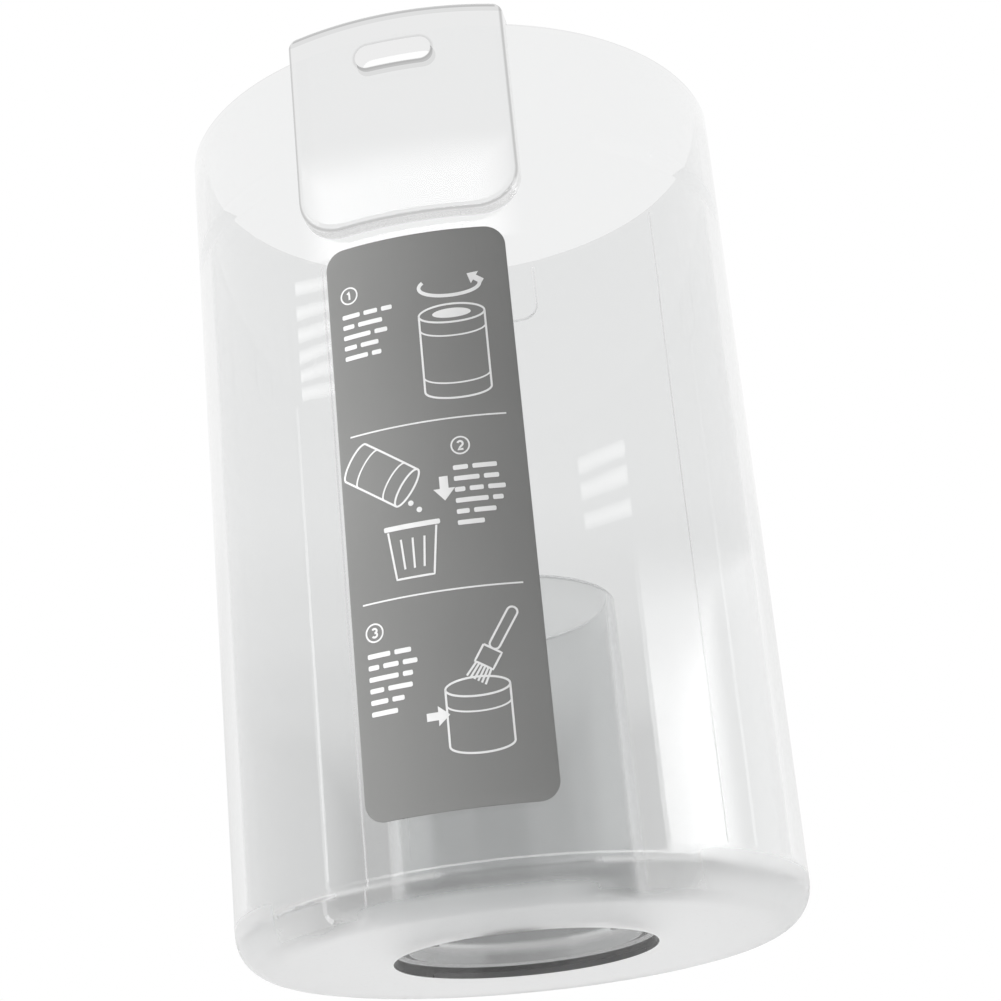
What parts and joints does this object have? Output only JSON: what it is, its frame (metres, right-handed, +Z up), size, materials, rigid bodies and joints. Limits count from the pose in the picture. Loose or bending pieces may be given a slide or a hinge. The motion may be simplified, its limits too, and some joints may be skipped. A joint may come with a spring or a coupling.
{
  "type": "vacuum dust cup",
  "caption": "Clear round dust cup of a cordless vacuum, open at the top, with an inlet tube rising from the floor, a slotted front latch tab and an adhesive label.",
  "frame": {"origin": "centre of the inlet port on the underside of the base, on the cup's axis, in the plane the cup stands on", "axes": "+Z up along the cup's axis towards the mouth, -Y towards the latch tab and the label"},
  "size_m": [0.105, 0.1094, 0.1646],
  "materials": {
    "clear_plastic": "clear polished moulding",
    "label_film": "satin printed film"
  },
  "bodies": {
    "root": {"dust_cup": "clear_plastic", "label": "label_film"}
  },
  "joints": []
}
